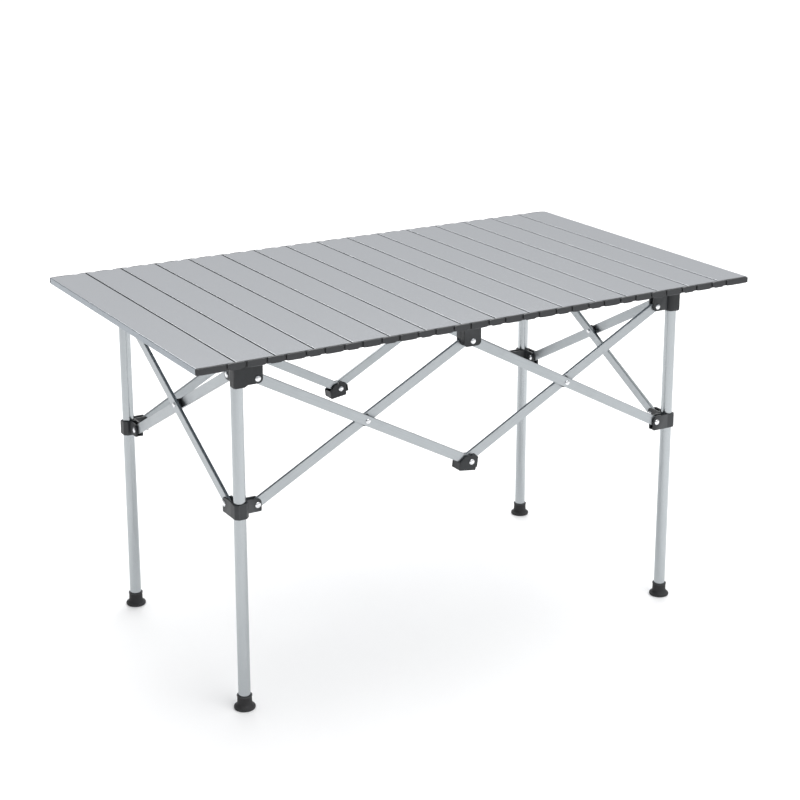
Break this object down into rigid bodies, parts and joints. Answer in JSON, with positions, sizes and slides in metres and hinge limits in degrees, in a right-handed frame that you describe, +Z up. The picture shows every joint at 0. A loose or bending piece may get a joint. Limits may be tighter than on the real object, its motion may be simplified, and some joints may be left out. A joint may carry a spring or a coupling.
{
  "type": "folding picnic table",
  "caption": "Folding picnic table with a roll-up top of flat aluminium slats on a scissor frame with round legs.",
  "frame": {"origin": "on the ground, under the middle of the table", "axes": "+X along the table's length, +Y from the front side to the back side, +Z up"},
  "size_m": [0.9264, 0.545, 0.538],
  "materials": {
    "leg_metal": "satin",
    "bar_metal": "satin",
    "slat_metal": "polished, clear coated",
    "rivet_metal": "bright, domed heads",
    "black_plastic": "fine satin moulding"
  },
  "bodies": {
    "corner_front_left": {"leg_front_left": "leg_metal", "foot_front_left": "black_plastic", "top_bracket_front_left": "black_plastic"},
    "slider_front_left": {"slider_front_left": "black_plastic"},
    "corner_front_right": {"leg_front_right": "leg_metal", "foot_front_right": "black_plastic", "top_bracket_front_right": "black_plastic"},
    "slider_front_right": {"slider_front_right": "black_plastic"},
    "corner_back_left": {"leg_back_left": "leg_metal", "foot_back_left": "black_plastic", "top_bracket_back_left": "black_plastic"},
    "slider_back_left": {"slider_back_left": "black_plastic"},
    "corner_back_right": {"leg_back_right": "leg_metal", "foot_back_right": "black_plastic", "top_bracket_back_right": "black_plastic"},
    "slider_back_right": {"slider_back_right": "black_plastic"},
    "bar_front_left_outer": {"bar_front_left_outer": "bar_metal", "cross_rivet_front_left": "rivet_metal", "cross_spacer_front_left": "black_plastic"},
    "bar_front_left_inner": {"bar_front_left_inner": "bar_metal"},
    "bar_front_right_outer": {"bar_front_right_outer": "bar_metal", "cross_rivet_front_right": "rivet_metal", "cross_spacer_front_right": "black_plastic"},
    "bar_front_right_inner": {"bar_front_right_inner": "bar_metal"},
    "bar_back_left_outer": {"bar_back_left_outer": "bar_metal", "cross_rivet_back_left": "rivet_metal", "cross_spacer_back_left": "black_plastic"},
    "bar_back_left_inner": {"bar_back_left_inner": "bar_metal"},
    "bar_back_right_outer": {"bar_back_right_outer": "bar_metal", "cross_rivet_back_right": "rivet_metal", "cross_spacer_back_right": "black_plastic"},
    "bar_back_right_inner": {"bar_back_right_inner": "bar_metal"},
    "bar_left_outer": {"bar_left_outer": "bar_metal", "cross_rivet_left": "rivet_metal", "cross_spacer_left": "black_plastic"},
    "bar_left_inner": {"bar_left_inner": "bar_metal"},
    "bar_right_outer": {"bar_right_outer": "bar_metal", "cross_rivet_right": "rivet_metal", "cross_spacer_right": "black_plastic"},
    "bar_right_inner": {"bar_right_inner": "bar_metal"},
    "top_centre_front": {"top_centre_front": "black_plastic"},
    "lower_centre_front": {"lower_centre_front": "black_plastic"},
    "top_centre_back": {"top_centre_back": "black_plastic"},
    "lower_centre_back": {"lower_centre_back": "black_plastic"},
    "slat_01": {"slat_01": "slat_metal"},
    "slat_02": {"slat_02": "slat_metal"},
    "slat_03": {"slat_03": "slat_metal"},
    "slat_04": {"slat_04": "slat_metal"},
    "slat_05": {"slat_05": "slat_metal"},
    "slat_06": {"slat_06": "slat_metal"},
    "slat_07": {"slat_07": "slat_metal"},
    "slat_08": {"slat_08": "slat_metal"},
    "slat_09": {"slat_09": "slat_metal"},
    "slat_10": {"slat_10": "slat_metal"},
    "slat_11": {"slat_11": "slat_metal"},
    "slat_12": {"slat_12": "slat_metal"},
    "slat_13": {"slat_13": "slat_metal"},
    "slat_14": {"slat_14": "slat_metal"},
    "slat_15": {"slat_15": "slat_metal"},
    "slat_16": {"slat_16": "slat_metal"}
  },
  "joints": [
    {"name": "frame_fold", "type": "hinge", "parent": "top_centre_front", "child": "bar_front_left_inner", "pos_m": [0, -0.2, 0.4895], "axis": [0, -1, 0], "range_deg": [0, 55.5]},
    {"name": "bar_front_right_outer_pivot", "type": "hinge", "parent": "top_centre_front", "child": "bar_front_right_outer", "pos_m": [0, -0.2, 0.4895], "axis": [0, 1, 0], "range_deg": [0, 55.5]},
    {"name": "front_left_crossing", "type": "hinge", "parent": "bar_front_left_inner", "child": "bar_front_left_outer", "pos_m": [-0.173, -0.2, 0.3965], "axis": [0, 1, 0], "range_deg": [0, 111]},
    {"name": "front_right_crossing", "type": "hinge", "parent": "bar_front_right_outer", "child": "bar_front_right_inner", "pos_m": [0.173, -0.2, 0.3965], "axis": [0, 1, 0], "range_deg": [-111, 0]},
    {"name": "slider_front_left_pivot", "type": "hinge", "parent": "bar_front_left_inner", "child": "slider_front_left", "pos_m": [-0.346, -0.2, 0.3035], "axis": [0, 1, 0], "range_deg": [0, 55.5]},
    {"name": "slider_front_right_pivot", "type": "hinge", "parent": "bar_front_right_outer", "child": "slider_front_right", "pos_m": [0.346, -0.2, 0.3035], "axis": [0, 1, 0], "range_deg": [-55.5, 0]},
    {"name": "corner_front_left_pivot", "type": "hinge", "parent": "bar_front_left_outer", "child": "corner_front_left", "pos_m": [-0.346, -0.2, 0.4895], "axis": [0, 1, 0], "range_deg": [-55.5, 0]},
    {"name": "corner_front_right_pivot", "type": "hinge", "parent": "bar_front_right_inner", "child": "corner_front_right", "pos_m": [0.346, -0.2, 0.4895], "axis": [0, 1, 0], "range_deg": [0, 55.5]},
    {"name": "lower_centre_front_pivot", "type": "hinge", "parent": "bar_front_left_outer", "child": "lower_centre_front", "pos_m": [0, -0.2, 0.3035], "axis": [0, 1, 0], "range_deg": [-55.5, 0]},
    {"name": "bar_left_inner_pivot", "type": "hinge", "parent": "corner_front_left", "child": "bar_left_inner", "pos_m": [-0.373, -0.173, 0.4895], "axis": [-1, 0, 0], "range_deg": [0, 55.5]},
    {"name": "left_crossing", "type": "hinge", "parent": "bar_left_inner", "child": "bar_left_outer", "pos_m": [-0.373, 0, 0.3965], "axis": [-1, 0, 0], "range_deg": [-111, 0]},
    {"name": "slider_back_left_pivot", "type": "hinge", "parent": "bar_left_inner", "child": "slider_back_left", "pos_m": [-0.373, 0.173, 0.3035], "axis": [-1, 0, 0], "range_deg": [-55.5, 0]},
    {"name": "corner_back_left_pivot", "type": "hinge", "parent": "bar_left_outer", "child": "corner_back_left", "pos_m": [-0.373, 0.173, 0.4895], "axis": [-1, 0, 0], "range_deg": [0, 55.5]},
    {"name": "bar_right_outer_pivot", "type": "hinge", "parent": "corner_front_right", "child": "bar_right_outer", "pos_m": [0.373, -0.173, 0.4895], "axis": [-1, 0, 0], "range_deg": [0, 55.5]},
    {"name": "right_crossing", "type": "hinge", "parent": "bar_right_outer", "child": "bar_right_inner", "pos_m": [0.373, 0, 0.3965], "axis": [-1, 0, 0], "range_deg": [-111, 0]},
    {"name": "slider_back_right_pivot", "type": "hinge", "parent": "bar_right_outer", "child": "slider_back_right", "pos_m": [0.373, 0.173, 0.3035], "axis": [-1, 0, 0], "range_deg": [-55.5, 0]},
    {"name": "corner_back_right_pivot", "type": "hinge", "parent": "bar_right_inner", "child": "corner_back_right", "pos_m": [0.373, 0.173, 0.4895], "axis": [-1, 0, 0], "range_deg": [0, 55.5]},
    {"name": "bar_back_left_inner_pivot", "type": "hinge", "parent": "corner_back_left", "child": "bar_back_left_inner", "pos_m": [-0.346, 0.2, 0.4895], "axis": [0, 1, 0], "range_deg": [0, 55.5]},
    {"name": "back_left_crossing", "type": "hinge", "parent": "bar_back_left_inner", "child": "bar_back_left_outer", "pos_m": [-0.173, 0.2, 0.3965], "axis": [0, 1, 0], "range_deg": [-111, 0]},
    {"name": "lower_centre_back_pivot", "type": "hinge", "parent": "bar_back_left_inner", "child": "lower_centre_back", "pos_m": [0, 0.2, 0.3035], "axis": [0, 1, 0], "range_deg": [-55.5, 0]},
    {"name": "top_centre_back_pivot", "type": "hinge", "parent": "bar_back_left_outer", "child": "top_centre_back", "pos_m": [0, 0.2, 0.4895], "axis": [0, 1, 0], "range_deg": [0, 55.5]},
    {"name": "bar_back_right_outer_pivot", "type": "hinge", "parent": "corner_back_right", "child": "bar_back_right_outer", "pos_m": [0.346, 0.2, 0.4895], "axis": [0, 1, 0], "range_deg": [-55.5, 0]},
    {"name": "back_right_crossing", "type": "hinge", "parent": "bar_back_right_outer", "child": "bar_back_right_inner", "pos_m": [0.173, 0.2, 0.3965], "axis": [0, 1, 0], "range_deg": [0, 111]},
    {"name": "top_lift", "type": "slide", "parent": "top_centre_front", "child": "slat_01", "axis": [0, 0, 1], "range_m": [0, 0.12]},
    {"name": "top_roll", "type": "hinge", "parent": "slat_01", "child": "slat_02", "pos_m": [-0.406, 0, 0.538], "axis": [0, -1, 0], "range_deg": [0, 31]},
    {"name": "seam_02", "type": "hinge", "parent": "slat_02", "child": "slat_03", "pos_m": [-0.348, 0, 0.538], "axis": [0, -1, 0], "range_deg": [0, 32.12]},
    {"name": "seam_03", "type": "hinge", "parent": "slat_03", "child": "slat_04", "pos_m": [-0.29, 0, 0.538], "axis": [0, -1, 0], "range_deg": [0, 33.63]},
    {"name": "seam_04", "type": "hinge", "parent": "slat_04", "child": "slat_05", "pos_m": [-0.232, 0, 0.538], "axis": [0, -1, 0], "range_deg": [0, 35.53]},
    {"name": "seam_05", "type": "hinge", "parent": "slat_05", "child": "slat_06", "pos_m": [-0.174, 0, 0.538], "axis": [0, -1, 0], "range_deg": [0, 37.82]},
    {"name": "seam_06", "type": "hinge", "parent": "slat_06", "child": "slat_07", "pos_m": [-0.116, 0, 0.538], "axis": [0, -1, 0], "range_deg": [0, 40.49]},
    {"name": "seam_07", "type": "hinge", "parent": "slat_07", "child": "slat_08", "pos_m": [-0.058, 0, 0.538], "axis": [0, -1, 0], "range_deg": [0, 43.55]},
    {"name": "seam_08", "type": "hinge", "parent": "slat_08", "child": "slat_09", "pos_m": [0, 0, 0.538], "axis": [0, -1, 0], "range_deg": [0, 47]},
    {"name": "seam_09", "type": "hinge", "parent": "slat_09", "child": "slat_10", "pos_m": [0.058, 0, 0.538], "axis": [0, -1, 0], "range_deg": [0, 50.84]},
    {"name": "seam_10", "type": "hinge", "parent": "slat_10", "child": "slat_11", "pos_m": [0.116, 0, 0.538], "axis": [0, -1, 0], "range_deg": [0, 55.06]},
    {"name": "seam_11", "type": "hinge", "parent": "slat_11", "child": "slat_12", "pos_m": [0.174, 0, 0.538], "axis": [0, -1, 0], "range_deg": [0, 59.67]},
    {"name": "seam_12", "type": "hinge", "parent": "slat_12", "child": "slat_13", "pos_m": [0.232, 0, 0.538], "axis": [0, -1, 0], "range_deg": [0, 64.67]},
    {"name": "seam_13", "type": "hinge", "parent": "slat_13", "child": "slat_14", "pos_m": [0.29, 0, 0.538], "axis": [0, -1, 0], "range_deg": [0, 70.06]},
    {"name": "seam_14", "type": "hinge", "parent": "slat_14", "child": "slat_15", "pos_m": [0.348, 0, 0.538], "axis": [0, -1, 0], "range_deg": [0, 75.84]},
    {"name": "seam_15", "type": "hinge", "parent": "slat_15", "child": "slat_16", "pos_m": [0.406, 0, 0.538], "axis": [0, -1, 0], "range_deg": [0, 82]}
  ],
  "couplings": [
    {"joint": "bar_front_right_outer_pivot", "follows": "frame_fold", "ratio": 1},
    {"joint": "front_left_crossing", "follows": "frame_fold", "ratio": 2},
    {"joint": "front_right_crossing", "follows": "frame_fold", "ratio": -2},
    {"joint": "slider_front_left_pivot", "follows": "frame_fold", "ratio": 1},
    {"joint": "slider_front_right_pivot", "follows": "frame_fold", "ratio": -1},
    {"joint": "corner_front_left_pivot", "follows": "frame_fold", "ratio": -1},
    {"joint": "corner_front_right_pivot", "follows": "frame_fold", "ratio": 1},
    {"joint": "lower_centre_front_pivot", "follows": "frame_fold", "ratio": -1},
    {"joint": "bar_left_inner_pivot", "follows": "frame_fold", "ratio": 1},
    {"joint": "left_crossing", "follows": "frame_fold", "ratio": -2},
    {"joint": "slider_back_left_pivot", "follows": "frame_fold", "ratio": -1},
    {"joint": "corner_back_left_pivot", "follows": "frame_fold", "ratio": 1},
    {"joint": "bar_right_outer_pivot", "follows": "frame_fold", "ratio": 1},
    {"joint": "right_crossing", "follows": "frame_fold", "ratio": -2},
    {"joint": "slider_back_right_pivot", "follows": "frame_fold", "ratio": -1},
    {"joint": "corner_back_right_pivot", "follows": "frame_fold", "ratio": 1},
    {"joint": "bar_back_left_inner_pivot", "follows": "frame_fold", "ratio": 1},
    {"joint": "back_left_crossing", "follows": "frame_fold", "ratio": -2},
    {"joint": "lower_centre_back_pivot", "follows": "frame_fold", "ratio": -1},
    {"joint": "top_centre_back_pivot", "follows": "frame_fold", "ratio": 1},
    {"joint": "bar_back_right_outer_pivot", "follows": "frame_fold", "ratio": -1},
    {"joint": "back_right_crossing", "follows": "frame_fold", "ratio": 2},
    {"joint": "seam_02", "follows": "top_roll", "ratio": 1.0362},
    {"joint": "seam_03", "follows": "top_roll", "ratio": 1.0849},
    {"joint": "seam_04", "follows": "top_roll", "ratio": 1.1461},
    {"joint": "seam_05", "follows": "top_roll", "ratio": 1.2199},
    {"joint": "seam_06", "follows": "top_roll", "ratio": 1.3061},
    {"joint": "seam_07", "follows": "top_roll", "ratio": 1.4049},
    {"joint": "seam_08", "follows": "top_roll", "ratio": 1.5161},
    {"joint": "seam_09", "follows": "top_roll", "ratio": 1.6399},
    {"joint": "seam_10", "follows": "top_roll", "ratio": 1.7762},
    {"joint": "seam_11", "follows": "top_roll", "ratio": 1.925},
    {"joint": "seam_12", "follows": "top_roll", "ratio": 2.0862},
    {"joint": "seam_13", "follows": "top_roll", "ratio": 2.26},
    {"joint": "seam_14", "follows": "top_roll", "ratio": 2.4463},
    {"joint": "seam_15", "follows": "top_roll", "ratio": 2.6452}
  ]
}
